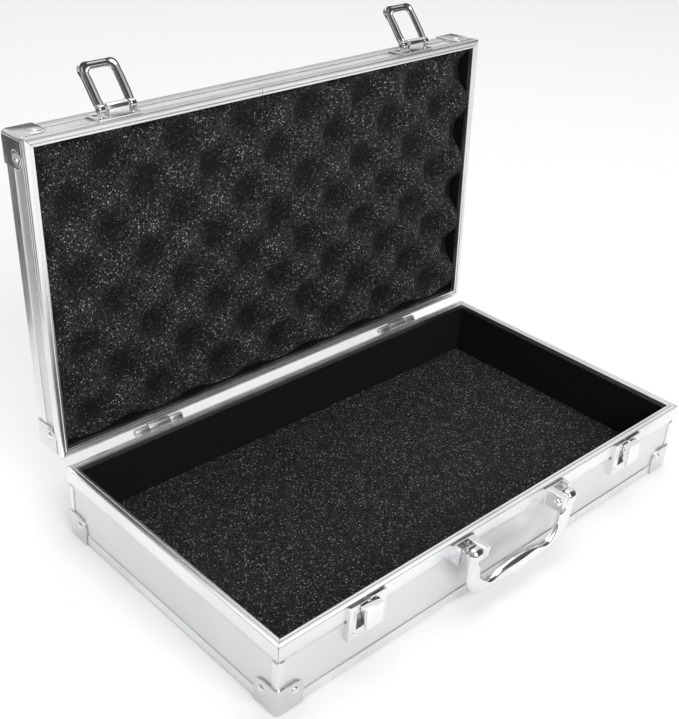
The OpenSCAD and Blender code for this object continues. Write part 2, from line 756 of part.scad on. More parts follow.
base_floor_panel();
base_front_panel();
base_back_panel();
base_end_panels();
base_wall_liner();
base_foam_pad();
base_rim(-1, true);  // base_rim_front
base_rim(1, true);  // base_rim_back
base_rim(-1, false);  // base_rim_left
base_rim(1, false);  // base_rim_right
base_edge_rails();
base_corner_posts();
base_corner(-1, -1);  // base_corner_front_left
base_corner(1, -1);  // base_corner_front_right
base_corner(-1, 1);  // base_corner_back_left
base_corner(1, 1);  // base_corner_back_right
base_corner_rivets();
latch_plate(-1);  // latch_plate_left
latch_plate(1);  // latch_plate_right
latch_pins();
latch_springs();
front_rivets();
latch_hook(-1);  // latch_hook_left
latch_hook(1);  // latch_hook_right
handle_bracket(-1);  // handle_bracket_left
handle_bracket(1);  // handle_bracket_right
handle_pins();
handle();
hinge_base_leaf(-1);  // hinge_base_leaf_left
hinge_base_leaf(1);  // hinge_base_leaf_right
hinge_pins();
base_hinge_rivets();
base_feet();
lid_top_panel();
lid_front_panel();
lid_back_panel();
lid_end_panels();
lid_wall_liner();
lid_foam();
lid_rim(-1, true);  // lid_rim_front
lid_rim(1, true);  // lid_rim_back
lid_rim(-1, false);  // lid_rim_left
lid_rim(1, false);  // lid_rim_right
lid_edge_rails();
lid_corner(-1, -1);  // lid_corner_front_left
lid_corner(1, -1);  // lid_corner_front_right
lid_corner(-1, 1);  // lid_corner_back_left
lid_corner(1, 1);  // lid_corner_back_right
lid_corner_rivets();
hinge_lid_leaf(-1);  // hinge_lid_leaf_left
hinge_lid_leaf(1);  // hinge_lid_leaf_right
lid_hinge_rivets();
hasp_bracket(-1);  // hasp_bracket_left
hasp_bracket(1);  // hasp_bracket_right
hasp_pins();
hasp_rivets();
hasp(-1);  // hasp_left
hasp(1);  // hasp_right
lid_feet();
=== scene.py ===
"""Looks of an aluminium poker chip case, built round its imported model.

Lengths in this file are millimetres, and become metres when a mesh is made. Lid pieces are
worked out as if the lid were shut, and are then turned open about the hinge line.
"""
import json
import math

import bmesh
import bpy
import numpy as np
from mathutils import Matrix, Vector

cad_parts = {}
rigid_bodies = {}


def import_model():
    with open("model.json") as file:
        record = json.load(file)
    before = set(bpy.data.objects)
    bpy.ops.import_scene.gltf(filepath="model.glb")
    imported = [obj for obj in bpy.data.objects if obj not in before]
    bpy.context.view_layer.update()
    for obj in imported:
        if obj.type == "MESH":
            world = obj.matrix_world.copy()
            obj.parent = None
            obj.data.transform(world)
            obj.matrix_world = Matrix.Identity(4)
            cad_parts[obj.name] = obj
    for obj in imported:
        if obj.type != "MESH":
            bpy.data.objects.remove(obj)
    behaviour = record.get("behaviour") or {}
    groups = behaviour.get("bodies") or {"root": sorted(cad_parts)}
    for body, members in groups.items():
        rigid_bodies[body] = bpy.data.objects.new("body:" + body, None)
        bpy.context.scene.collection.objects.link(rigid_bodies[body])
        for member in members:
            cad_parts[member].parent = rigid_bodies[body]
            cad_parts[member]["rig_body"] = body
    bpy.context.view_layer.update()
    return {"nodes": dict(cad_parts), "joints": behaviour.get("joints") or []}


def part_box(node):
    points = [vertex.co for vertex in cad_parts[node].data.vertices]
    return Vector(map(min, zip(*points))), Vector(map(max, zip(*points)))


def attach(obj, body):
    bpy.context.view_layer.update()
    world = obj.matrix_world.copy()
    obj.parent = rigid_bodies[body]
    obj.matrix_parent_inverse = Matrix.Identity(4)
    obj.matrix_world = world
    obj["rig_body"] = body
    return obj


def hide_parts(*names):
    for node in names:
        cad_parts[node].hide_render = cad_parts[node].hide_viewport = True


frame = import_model()

MM = 0.001

# ---- driving sizes, from the frame ----


def low(node):
    """The lowest x, y and z of a CAD node."""
    return np.array(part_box(node)[0]) / MM


def high(node):
    """The highest x, y and z of a CAD node."""
    return np.array(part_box(node)[1]) / MM


def joint(name):
    """A joint of the frame."""
    return next(j for j in frame["joints"] if j["name"] == name)


HALF_W = high("base_rim_right")[0]
HALF_D = high("base_rim_back")[1]
BASE_TOP = high("base_rim_front")[2]
HINGE_Y, HINGE_Z = (v / MM for v in joint("lid_hinge")["pos_m"][1:])
OPEN = math.radians(joint("lid_hinge")["range_deg"][1])
LID_RIM = 2 * HINGE_Z - BASE_TOP      # height of the shut lid's rim
LID_DEEP = 25.5                       # from the lid's rim to its outer face
PANEL_IN = HALF_W - high("base_end_panels")[0]
LINER_FACE = HALF_W - high("base_foam_pad")[0]      # where the lining's inner face stands
LATCH_X = (low("latch_plate_right")[0] + high("latch_plate_right")[0]) / 2
PAD_TOP = high("base_foam_pad")[2]
FLOOR_T = low("base_foam_pad")[2]
LEG_END = HALF_W + high("base_corner_front_left")[0]    # length of a protector's legs

# sizes of the trays' extrusions: height of the rim's band, of the edge rail and of the
# corner protectors, and the places of the grooves in the rim's face and band
TRAYS = {
    "base": dict(rim=BASE_TOP, away=-1, deep=BASE_TOP, band=13.0, rail=8.0, corner=19.0,
                 face_grooves=(3.0,), band_grooves=()),
    "lid": dict(rim=LID_RIM, away=1, deep=LID_DEEP, band=8.0, rail=9.5, corner=21.0,
                face_grooves=(3.2,), band_grooves=(1.9, 4.2)),
}
RIM_W = 5.5
RIM_T = 1.2
LIP_H = 4.0                           # depth of the rim's inner lip
GROOVE = 0.7                          # width of a groove
GROOVE_DEEP = 0.5
BAND_SLOPE = 0.28                     # share of the band that slopes in to the wall
RAIL_IN = 0.4                         # how far a rail stands back from the rim's face
RAIL_FOOT = 8.0
MITRE_GAP = 0.17                      # how far short of the mitre each bar stops
SEAM = 0.25                           # hairline left where two lengths of a rim meet
RIVET_IN = 13.0                       # a protector's rivet from the upright edge
RIVET_DOWN = 6.5                      # and from the protector's free edge
RIVET_OUT = 0.4                       # how far the foot of its dome is outside the rim's face
PIN_R = 1.25                          # radius of the hinge pins and the hasp pins
PIN_X = 46.5                          # the handle's brackets and eyes, from the middle
ROUND = 40                            # sides of a turned piece, unless it says otherwise

# ---- shapes ----


def shut(points):
    """Leaves the base's points where they are."""
    return points


def opened(points):
    """Turns points of the shut lid about the hinge line, to where the lid rests."""
    y = points[..., 1] - HINGE_Y
    z = points[..., 2] - HINGE_Z
    c, s = math.cos(OPEN), math.sin(OPEN)
    return np.stack([points[..., 0], HINGE_Y + y * c + z * s, HINGE_Z - y * s + z * c], -1)


def place_of(tray):
    """Where a tray's pieces go: the lid's are opened."""
    return opened if tray == "lid" else shut


def filleted(corners, radius, steps=4):
    """A closed outline with round corners: each corner becomes an arc that touches both of
    its sides, centred on the corner's bisector."""
    p = np.asarray(corners, float)
    back = np.roll(p, 1, 0) - p
    ahead = np.roll(p, -1, 0) - p
    back_len = np.linalg.norm(back, axis=1)
    ahead_len = np.linalg.norm(ahead, axis=1)
    u = back / back_len[:, None]
    v = ahead / ahead_len[:, None]
    half = np.arccos(np.clip((u * v).sum(1), -1, 1)) / 2
    cut = np.minimum(radius / np.tan(half), 0.48 * np.minimum(back_len, ahead_len))
    r = cut * np.tan(half)
    middle = u + v
    middle /= np.linalg.norm(middle, axis=1)[:, None]
    centre = p + middle * (r / np.sin(half))[:, None]
    start = p + u * cut[:, None] - centre
    end = p + v * cut[:, None] - centre
    turn = (math.pi - 2 * half)[:, None]
    t = np.linspace(0, 1, steps + 1)[None, :]
    from_start = np.sin((1 - t) * turn) / np.sin(turn)
    from_end = np.sin(t * turn) / np.sin(turn)
    arcs = centre[:, None] + from_start[..., None] * start[:, None]
    arcs = arcs + from_end[..., None] * end[:, None]
    return arcs.reshape(-1, 2)


def skin(rings, closed_path=False):
    """Quads between neighbouring rings of an (n, k, 3) array. The rings are closed outlines;
    the path is closed too, or its two ends are capped."""
    n, k, _ = rings.shape
    i = np.arange(n if closed_path else n - 1)[:, None]
    j = np.arange(k)[None, :]
    nxt = (i + 1) % n
    quads = np.stack([i * k + j, i * k + (j + 1) % k, nxt * k + (j + 1) % k, nxt * k + j], -1)
    faces = quads.reshape(-1, 4).tolist()
    if not closed_path:
        faces.append(list(range(k))[::-1])
        faces.append(list(range((n - 1) * k, n * k)))
    return rings.reshape(-1, 3), faces


def turned(profile, at, axis, steps=ROUND):
    """A profile of (radius, height) points turned about an axis through a point."""
    axis = np.asarray(axis, float) / np.linalg.norm(axis)
    side = np.cross(axis, [0, 0, 1] if abs(axis[2]) < 0.9 else [1, 0, 0])
    side /= np.linalg.norm(side)
    other = np.cross(axis, side)
    a = np.linspace(0, 2 * math.pi, steps, endpoint=False)
    spoke = np.cos(a)[:, None] * side + np.sin(a)[:, None] * other
    profile = np.asarray(profile, float)
    rings = (np.asarray(at, float) + profile[:, 1, None, None] * axis
             + profile[:, 0, None, None] * spoke[None])
    return skin(rings)


def slab(x, y, top, bottom):
    """A closed block on the grid of x and y: the top and bottom are arrays of heights, and
    quads join their borders."""
    gx, gy = np.meshgrid(x, y, indexing="ij")
    n, m = gx.shape
    points = np.concatenate([np.stack([gx, gy, z], -1).reshape(-1, 3) for z in (top, bottom)])
    i, j = np.meshgrid(np.arange(n - 1), np.arange(m - 1), indexing="ij")
    a = i * m + j
    quads = np.stack([a, a + m, a + m + 1, a + 1], -1).reshape(-1, 4)
    faces = quads.tolist() + (quads[:, ::-1] + n * m).tolist()
    border = np.concatenate([np.arange(n) * m, (n - 1) * m + np.arange(1, m),
                             np.arange(n - 2, -1, -1) * m + m - 1, np.arange(m - 2, 0, -1)])
    after = np.roll(border, -1)
    faces += np.stack([after, border, border + n * m, after + n * m], -1).tolist()
    return points, faces


def joined(parts):
    """Several (points, faces) parts as one."""
    starts = np.cumsum([0] + [len(p) for p, _ in parts])
    faces = [[i + int(s) for i in f] for (_, fs), s in zip(parts, starts) for f in fs]
    return np.concatenate([p for p, _ in parts]), faces


def piece(name, parts, material, body, place=shut, sharp=32, stands_for=(), hollow=None):
    """Makes one object of several closed parts, with outward normals and smooth shading that
    breaks at edges sharper than the given angle. Hollow is an optional value for each point,
    1 in the deepest hollows of a foam."""
    points, faces = joined(parts)
    mesh = bpy.data.meshes.new(name)
    mesh.from_pydata((place(points) * MM).tolist(), [], faces)
    if hollow is not None:
        mesh.attributes.new("hollow", "FLOAT", "POINT").data.foreach_set("value", hollow)
    bm = bmesh.new()
    bm.from_mesh(mesh)
    bmesh.ops.remove_doubles(bm, verts=bm.verts, dist=1e-7)
    bmesh.ops.recalc_face_normals(bm, faces=bm.faces)
    bm.to_mesh(mesh)
    bm.free()
    return finished(name, mesh, material, body, sharp, stands_for)


def finished(name, mesh, material, body, sharp, stands_for):
    """Puts a mesh into the scene with its material, its body and the nodes it stands for."""
    mesh.polygons.foreach_set("use_smooth", np.ones(len(mesh.polygons), bool))
    mesh.set_sharp_from_angle(angle=math.radians(sharp))
    mesh.materials.clear()
    mesh.materials.append(material)
    obj = bpy.data.objects.new(name, mesh)
    bpy.context.scene.collection.objects.link(obj)
    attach(obj, body)
    if stands_for:
        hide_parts(*stands_for)
    return obj


def softened(node, width, material, steps=3):
    """A copy of a CAD node whose sharp edges are rounded, as on pressed or cast metal."""
    source = frame["nodes"][node]
    mesh = source.data.copy()
    bm = bmesh.new()
    bm.from_mesh(mesh)
    bmesh.ops.remove_doubles(bm, verts=bm.verts, dist=2e-6)
    bmesh.ops.dissolve_limit(bm, angle_limit=math.radians(1), verts=bm.verts, edges=bm.edges)
    bm.to_mesh(mesh)
    bm.free()
    rough = bpy.data.objects.new(node + "_rough", mesh)
    bpy.context.scene.collection.objects.link(rough)
    bevel = rough.modifiers.new("rounding", "BEVEL")
    bevel.width = width * MM
    bevel.segments = steps
    bevel.limit_method = "ANGLE"
    bevel.angle_limit = math.radians(35)
    bevel.use_clamp_overlap = True
    bevel.miter_outer = "MITER_ARC"
    done = bpy.data.meshes.new_from_object(
        rough.evaluated_get(bpy.context.evaluated_depsgraph_get()))
    bpy.data.objects.remove(rough)
    return finished("soft_" + node, done, material, source["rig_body"], 40, [node])


# ---- shading ----


def add(tree, kind, settings=(), **sockets):
    """Adds a node. Settings are its properties; sockets are values or the sockets to link."""
    node = tree.nodes.new(kind)
    for key, value in dict(settings).items():
        setattr(node, key, value)
    for key, value in sockets.items():
        put(tree, node, key.replace("_", " "), value)
    return node


def put(tree, node, key, value):
    """Sets a node's input, by name or number, to a value or to another node's socket."""
    socket = node.inputs[key]
    if isinstance(value, bpy.types.NodeSocket):
        tree.links.new(value, socket)
    else:
        socket.default_value = value


def new_group(name, inputs, outputs):
    """A shader group with named inputs (name, kind, default) and outputs (name, kind)."""
    tree = bpy.data.node_groups.new(name, "ShaderNodeTree")
    for label, kind, default in inputs:
        socket = tree.interface.new_socket(label, in_out="INPUT", socket_type=kind)
        socket.default_value = default
    for label, kind in outputs:
        tree.interface.new_socket(label, in_out="OUTPUT", socket_type=kind)
    return tree, tree.nodes.new("NodeGroupInput"), tree.nodes.new("NodeGroupOutput")


def placed(tree, group, **values):
    """Puts a group into a material with its own values."""
    node = tree.nodes.new("ShaderNodeGroup")
    node.node_tree = group
    for key, value in values.items():
        put(tree, node, key.replace("_", " "), value)
    return node


def spread(tree, value, from_low, from_high, to_low, to_high):
    """Maps a value smoothly from one range to another."""
    return add(tree, "ShaderNodeMapRange", {"interpolation_type": "SMOOTHSTEP"},
               Value=value, From_Min=from_low, From_Max=from_high,
               To_Min=to_low, To_Max=to_high).outputs["Result"]


def maths(tree, operation, a, b):
    """One step of arithmetic on two values."""
    node = tree.nodes.new("ShaderNodeMath")
    node.operation = operation
    put(tree, node, 0, a)
    put(tree, node, 1, b)
    return node.outputs[0]


def blended(tree, factor, a, b):
    """Colour a where the factor is 0 and colour b where it is 1."""
    node = tree.nodes.new("ShaderNodeMix")
    node.data_type = "RGBA"
    put(tree, node, 0, factor)
    put(tree, node, 6, a)
    put(tree, node, 7, b)
    return node.outputs[2]


FLOAT = "NodeSocketFloat"
VECTOR = "NodeSocketVector"


def grain_group():
    """Drawn-metal grain: fine noise stretched along the way the metal was drawn."""
    tree, into, out = new_group(
        "metal_grain", [("Stretch", VECTOR, (1, 1, 1))], [("Height", FLOAT), ("Tone", FLOAT)])
    where = tree.nodes.new("ShaderNodeTexCoord").outputs["Object"]
    moved = add(tree, "ShaderNodeMapping", Vector=where, Scale=into.outputs["Stretch"])
    fine = add(tree, "ShaderNodeTexNoise", Vector=moved.outputs[0], Scale=1.0, Detail=4.0,
               Roughness=0.7)
    broad = add(tree, "ShaderNodeTexNoise", Vector=where, Scale=14.0, Detail=3.0)
    put(tree, out, "Height", fine.outputs[0])
    put(tree, out, "Tone", broad.outputs[0])
    return tree


def handling_group():
    """Handling marks: soft smears, and sparse hairline scratches in two directions."""
    tree, into, out = new_group(
        "handling_marks", [("Amount", FLOAT, 1.0)], [("Smears", FLOAT), ("Scratches", FLOAT)])
    where = tree.nodes.new("ShaderNodeTexCoord").outputs["Object"]
    smear = add(tree, "ShaderNodeTexNoise", Vector=where, Scale=55.0, Detail=5.0,
                Roughness=0.6, Distortion=0.6)
    lines = []
    for turn in (0.5, 2.2):
        moved = add(tree, "ShaderNodeMapping", Vector=where, Rotation=(turn, turn / 2, turn),
                    Scale=(30, 900, 900))
        hair = add(tree, "ShaderNodeTexNoise", Vector=moved.outputs[0], Scale=1.0, Detail=1.0)
        lines.append(spread(tree, hair.outputs[0], 0.70, 0.78, 0.0, 1.0))
    put(tree, out, "Smears", maths(
        tree, "MULTIPLY", spread(tree, smear.outputs[0], 0.42, 0.72, 0, 1),
        into.outputs["Amount"]))
    put(tree, out, "Scratches", maths(
        tree, "MULTIPLY", maths(tree, "MAXIMUM", lines[0], lines[1]), into.outputs["Amount"]))
    return tree


def cell_group():
    """Open foam cells: dim cells of two sizes, the foam's own tone, and among them bright
    points, a painted glint where a cut cell wall would catch the light."""
    tree, into, out = new_group(
        "foam_cells", [("Cell", FLOAT, 900.0), ("Share", FLOAT, 0.3)],
        [("Height", FLOAT), ("Glint", FLOAT), ("Tone", FLOAT)])
    where = tree.nodes.new("ShaderNodeTexCoord").outputs["Object"]
    cells = add(tree, "ShaderNodeTexVoronoi", Vector=where, Scale=into.outputs["Cell"])
    finer = add(tree, "ShaderNodeTexVoronoi", Vector=where,
                Scale=maths(tree, "MULTIPLY", into.outputs["Cell"], 2.1))
    chance = add(tree, "ShaderNodeSeparateColor", Color=cells.outputs["Color"])
    chance_fine = add(tree, "ShaderNodeSeparateColor", Color=finer.outputs["Color"])
    edge = maths(tree, "SUBTRACT", 1.0, into.outputs["Share"])
    point = spread(tree, cells.outputs["Distance"], 0.5, 0.15, 0.0, 1.0)
    bright = maths(tree, "MULTIPLY", point, spread(tree, chance.outputs[0], edge, 1.0, 0, 1))
    dim = spread(tree, chance_fine.outputs[1], 0.3, 1.0, 0.0, 0.12)
    tone = add(tree, "ShaderNodeTexNoise", Vector=where, Scale=90.0, Detail=4.0,
               Roughness=0.6)
    put(tree, out, "Height", maths(tree, "ADD", cells.outputs["Distance"], maths(
        tree, "MULTIPLY", finer.outputs["Distance"], 0.5)))
    put(tree, out, "Glint", maths(tree, "MAXIMUM", bright, dim))
    put(tree, out, "Tone", tone.outputs[0])
    return tree


GRAIN = grain_group()
HANDLING = handling_group()
CELLS = cell_group()


def new_material(name):
    """A new material, its tree and its shader."""
    material = bpy.data.materials.new(name)
    material.use_nodes = True
    tree = material.node_tree
    return material, tree, tree.nodes["Principled BSDF"]


def metal(name, colour, roughness, stretch, grain, marks):
    """A metal whose roughness follows its drawn grain and handling marks."""
    material, tree, shader = new_material(name)
    drawn = placed(tree, GRAIN, Stretch=stretch)
    worn = placed(tree, HANDLING, Amount=marks)
    bright = [min(1.0, c * 1.06) for c in colour] + [1]
    dull = [c * 0.93 for c in colour] + [1]
    tone = spread(tree, drawn.outputs["Tone"], 0.35, 0.65, 0, 1)
    put(tree, shader, "Base Color", blended(tree, tone, dull, bright))
    shader.inputs["Metallic"].default_value = 1.0
    rough = spread(tree, drawn.outputs["Height"], 0.3, 0.7, roughness * 0.82, roughness * 1.2)
    smear = maths(tree, "MULTIPLY_ADD", worn.outputs["Smears"], 0.09)
    put(tree, smear.node, 2, rough)
    put(tree, shader, "Roughness", smear)
    height = maths(tree, "SUBTRACT", drawn.outputs["Height"],
                   maths(tree, "MULTIPLY", worn.outputs["Scratches"], 0.8))
    bump = add(tree, "ShaderNodeBump", Height=height, Strength=grain, Distance=0.0001)
    put(tree, shader, "Normal", bump.outputs[0])
    return material


def laminate(name):
    """Silver foil laminate: a satin metal face with a faint pebble and cloudy sheen."""
    material, tree, shader = new_material(name)
    worn = placed(tree, HANDLING, Amount=0.5)
    where = tree.nodes.new("ShaderNodeTexCoord").outputs["Object"]
    pebble = add(tree, "ShaderNodeTexNoise", Vector=where, Scale=1500.0, Detail=2.0)
    cloud = add(tree, "ShaderNodeTexNoise", Vector=where, Scale=9.0, Detail=3.0)
    tone = spread(tree, cloud.outputs[0], 0.35, 0.65, 0, 1)
    put(tree, shader, "Base Color", blended(
        tree, tone, (0.74, 0.745, 0.755, 1), (0.80, 0.80, 0.81, 1)))
    shader.inputs["Metallic"].default_value = 0.7
    rough = maths(tree, "MULTIPLY_ADD", worn.outputs["Smears"], 0.07)
    put(tree, rough.node, 2, 0.42)
    put(tree, shader, "Roughness", rough)
    bump = add(tree, "ShaderNodeBump", Height=pebble.outputs[0], Strength=0.12,
               Distance=0.0001)
    put(tree, shader, "Normal", bump.outputs[0])
    return material


def foam(name, cell, share, dark, light, hollow_shade):
    """Black open-cell foam: dark cells with pale points among them, partly the cells' own
    speckle and partly painted glints. The hollows of a shaped pad have painted shade: their
    colour and glints are darkened by the hollow attribute."""
    material, tree, shader = new_material(name)
    cells = placed(tree, CELLS, Cell=cell, Share=share)
    broad = spread(tree, cells.outputs["Tone"], 0.3, 0.7, 0.6, 1.0)
    depth = add(tree, "ShaderNodeAttribute", {"attribute_name": "hollow"}).outputs["Fac"]
    # painted shade: the colour and glints darken towards the foam's hollows
    lit = spread(tree, depth, 0.3, 1.0, 1.0, hollow_shade)
    glint = maths(tree, "MULTIPLY", maths(tree, "MULTIPLY", cells.outputs["Glint"], broad), lit)
    # the base colour holds painted glints, dimmed by the painted shade of the hollows
    put(tree, shader, "Base Color", blended(tree, glint, dark, light))
    put(tree, shader, "Roughness", spread(tree, glint, 0, 1, 0.9, 0.5))
    shader.inputs["Specular IOR Level"].default_value = 0.2
    bump = add(tree, "ShaderNodeBump", Height=cells.outputs["Height"], Strength=0.6,
               Distance=0.0005)
    put(tree, shader, "Normal", bump.outputs[0])
    return material


def lining(name):
    """Matt black lining cloth: a fine basket weave under a soft nap."""
    material, tree, shader = new_material(name)
    where = tree.nodes.new("ShaderNodeTexCoord").outputs["Object"]
    threads = []
    for axis in range(3):
        turn = [0.0, 0.0, 0.0]
        turn[(axis + 1) % 3] = math.pi / 2 if axis else 0.0
        moved = add(tree, "ShaderNodeMapping", Vector=where, Rotation=turn)
        wave = add(tree, "ShaderNodeTexWave", Vector=moved.outputs[0], Scale=320.0,
                   Distortion=1.5, Detail=2.0)
        threads.append(wave.outputs["Fac"])
    weave = maths(tree, "MULTIPLY", maths(tree, "ADD", threads[0], threads[1]),
                  maths(tree, "ADD", threads[2], 0.4))
    nap = add(tree, "ShaderNodeTexNoise", Vector=where, Scale=400.0, Detail=4.0)
    put(tree, shader, "Base Color", blended(
        tree, nap.outputs[0], (0.004, 0.004, 0.005, 1), (0.012, 0.012, 0.013, 1)))
    put(tree, shader, "Roughness", spread(tree, nap.outputs[0], 0.3, 0.7, 0.75, 0.95))
    shader.inputs["Specular IOR Level"].default_value = 0.2
    bump = add(tree, "ShaderNodeBump", Height=maths(tree, "ADD", weave, nap.outputs[0]),
               Strength=0.35, Distance=0.0002)
    put(tree, shader, "Normal", bump.outputs[0])
    return material


def rubber(name):
    """Moulded black rubber with a dusty bloom."""
    material, tree, shader = new_material(name)
    where = tree.nodes.new("ShaderNodeTexCoord").outputs["Object"]
    bloom = add(tree, "ShaderNodeTexNoise", Vector=where, Scale=300.0, Detail=5.0)
    put(tree, shader, "Base Color", blended(
        tree, spread(tree, bloom.outputs[0], 0.4, 0.8, 0, 1),
        (0.012, 0.012, 0.012, 1), (0.05, 0.05, 0.05, 1)))
    put(tree, shader, "Roughness", spread(tree, bloom.outputs[0], 0.3, 0.7, 0.5, 0.75))
    bump = add(tree, "ShaderNodeBump", Height=bloom.outputs[0], Strength=0.2, Distance=0.0002)
    put(tree, shader, "Normal", bump.outputs[0])
    return material


ALONG_X = (30, 5000, 5000)
ALONG_Y = (5000, 30, 5000)
ALONG_LID = (5000, 200, 30)
SATIN = (0.84, 0.845, 0.85)
BRIGHT = (0.86, 0.865, 0.87)
extrusion_x = metal("satin_aluminium_long", SATIN, 0.30, ALONG_X, 0.05, 0.4)
extrusion_y = metal("satin_aluminium_base_ends", SATIN, 0.30, ALONG_Y, 0.05, 0.4)
extrusion_z = metal("satin_aluminium_lid_ends", SATIN, 0.30, ALONG_LID, 0.05, 0.4)
upright = metal("satin_aluminium_posts", SATIN, 0.30, (5000, 5000, 30), 0.05, 0.4)
pressed = metal("bright_nickel_pressing", (0.70, 0.70, 0.71), 0.13, (400, 400, 400), 0.08, 1.0)
chrome = metal("polished_chrome", BRIGHT, 0.055, (300, 300, 300), 0.03, 0.8)
# painted reflection: a darker copy of the polished chrome, standing in for the dark surroundings
# that the hasps reflect
hasp_chrome_painted_dark = metal("hasp_chrome_painted_dark", (0.60, 0.605, 0.615), 0.06, (300, 300, 300), 0.03, 0.8)
hardware = metal("plated_hardware", (0.82, 0.82, 0.83), 0.12, (350, 350, 350), 0.06, 1.0)
zinc = metal("zinc_plate", (0.68, 0.69, 0.70), 0.28, (500, 500, 500), 0.2, 1.0)
silver = laminate("silver_laminate")
pad_foam = foam("pad_foam", 780.0, 0.4, (0.004, 0.004, 0.004, 1), (0.42, 0.42, 0.425, 1), 1.0)
lid_foam_black = foam("egg_crate_foam", 780.0, 0.45, (0.005, 0.005, 0.005, 1),
                      (0.58, 0.58, 0.585, 1), 0.22)
black_lining = lining("black_lining")
black_rubber = rubber("black_rubber")

# ---- rims and edge rails ----


def rim_section(tray):
    """Section of a rim as (u inwards, v away from the rim's face): a channel over the wall's
    edge with a deep outer band, grooved along its face and its band, and rounded all round."""
    t = TRAYS[tray]
    band = t["band"]
    outline = [(RIM_T, RIM_T), (RIM_T, band), (RIM_T - 0.3, band), (0, band * (1 - BAND_SLOPE))]
    for g in sorted(t["band_grooves"], reverse=True):
        outline += [(0, g + GROOVE), (GROOVE_DEEP, g + GROOVE / 2), (0, g)]
    outline.append((0, 0))
    for g in t["face_grooves"]:
        outline += [(g, 0), (g + GROOVE / 2, GROOVE_DEEP), (g + GROOVE, 0)]
    outline += [(RIM_W, 0), (RIM_W, LIP_H), (RIM_W - RIM_T, LIP_H), (RIM_W - RIM_T, RIM_T)]
    wide = {(0, 0): 0.7, (RIM_W, 0): 0.5}
    return filleted(outline, np.array([wide.get(p, 0.12) for p in outline]), 3)


def rail_section(tray):
    """Section of an edge rail as (u inwards, v up from the closed face): an angle with a
    rounded heel and a soft upper edge."""
    h = TRAYS[tray]["rail"]
    outline = [(PANEL_IN, h), (RAIL_IN + 0.1, h), (RAIL_IN, h - 0.9), (RAIL_IN, 0),
               (RAIL_FOOT, 0), (RAIL_FOOT, 0.8), (PANEL_IN, 0.8)]
    return filleted(outline, np.array([0.08, 0.3, 0.5, 1.6, 0.25, 0.08, 0.08]), 4)


def mitred_bar(tray, side, long, section, from_rim, seams=()):
    """A section carried along one side of a tray. Each of its points stops where it meets
    the 45 degree mitre, which is as far short of the corner as the point lies inwards."""
    t = TRAYS[tray]
    u, v = section.T
    reach = (HALF_W if long else HALF_D) - u - MITRE_GAP
    across = side * ((HALF_D if long else HALF_W) - u)
    depth = v if from_rim else t["deep"] - v
    z = t["rim"] + t["away"] * depth
    stops = [-reach]
    for s in seams:
        stops += [np.full_like(reach, s - SEAM / 2), np.full_like(reach, s + SEAM / 2)]
    stops.append(reach)
    parts = []
    for a, b in zip(stops[::2], stops[1::2]):
        run = np.stack([a, b])
        ring = (run, across[None] + 0 * run) if long else (across[None] + 0 * run, run)
        parts.append(skin(np.stack([*ring, z[None] + 0 * run], -1)))
    return parts


def make_rims(tray):
    """The four mitred rims. The long ones are made of two lengths that meet at a seam, except
    the base's front rim, which is one length.
    """
    ends = extrusion_z if tray == "lid" else extrusion_y
    seams = {"base": (-110.0, None), "lid": (-118.0, -20.0)}[tray]
    for label, side, long in (("back", 1, True), ("front", -1, True),
                              ("left", -1, False), ("right", 1, False)):
        at = seams[0 if side > 0 else 1] if long else None
        parts = mitred_bar(tray, side, long, rim_section(tray), True,
                           () if at is None else (at,))
        piece(f"{tray}_rim_{label}_extrusion", parts, extrusion_x if long else ends, tray,
              place_of(tray), 28, [f"{tray}_rim_{label}"])


def make_rails(tray):
    """The edge rails round the tray's closed face. They stop under the corner protectors."""
    ends = extrusion_z if tray == "lid" else extrusion_y
    section = rail_section(tray)
    node = f"{tray}_edge_rails"
    long = mitred_bar(tray, 1, True, section, False) + mitred_bar(tray, -1, True, section, False)
    short = (mitred_bar(tray, 1, False, section, False)
             + mitred_bar(tray, -1, False, section, False))
    for points, _ in long:
        points[:, 0] = np.clip(points[:, 0], LEG_END - HALF_W, HALF_W - LEG_END)
    for points, _ in short:
        points[:, 1] = np.clip(points[:, 1], LEG_END - HALF_D, HALF_D - LEG_END)
    piece(f"{tray}_long_rails", long, extrusion_x, tray, place_of(tray), 28,
          [node])
    piece(f"{tray}_end_rails", short, ends, tray, place_of(tray), 28, [node])


# ---- corner protectors, rivets and feet ----

# profiles as (radius, height): a rivet's dome, and the raised boss round it
DOME = [(0, 1.1), (0.5, 1.09), (1.1, 0.98), (1.7, 0.78), (2.2, 0.46), (2.5, 0.15), (2.55, 0),
        (2.55, -0.3), (0, -0.3)]
BOSS = [(2.5, 0.05), (2.9, 0.0), (3.2, 0.16), (3.7, 0.38), (4.3, 0.4), (4.9, 0.2), (5.3, 0.0),
        (5.3, -0.3), (2.5, -0.3)]


def rivet_places(tray):
    """(point, outward axis) of the two rivets at each of a tray's four corners."""
    t = TRAYS[tray]
    z = t["rim"] + t["away"] * (t["deep"] - t["corner"] + RIVET_DOWN)
    places = []
    for sx in (-1, 1):
        for sy in (-1, 1):
            places.append(((sx * (HALF_W - RIVET_IN), sy * (HALF_D + RIVET_OUT), z), (0, sy, 0)))
            places.append(((sx * (HALF_W + RIVET_OUT), sy * (HALF_D - RIVET_IN), z), (sx, 0, 0)))
    return places


def ring_around(profile, at, axis):
    """A closed ring profile turned about an axis."""
    points, faces = turned(profile, at, axis)
    last = (len(profile) - 1) * ROUND
    j = np.arange(ROUND)
    after = (j + 1) % ROUND
    return points, faces[:-2] + np.stack([last + j, last + after, after, j], -1).tolist()


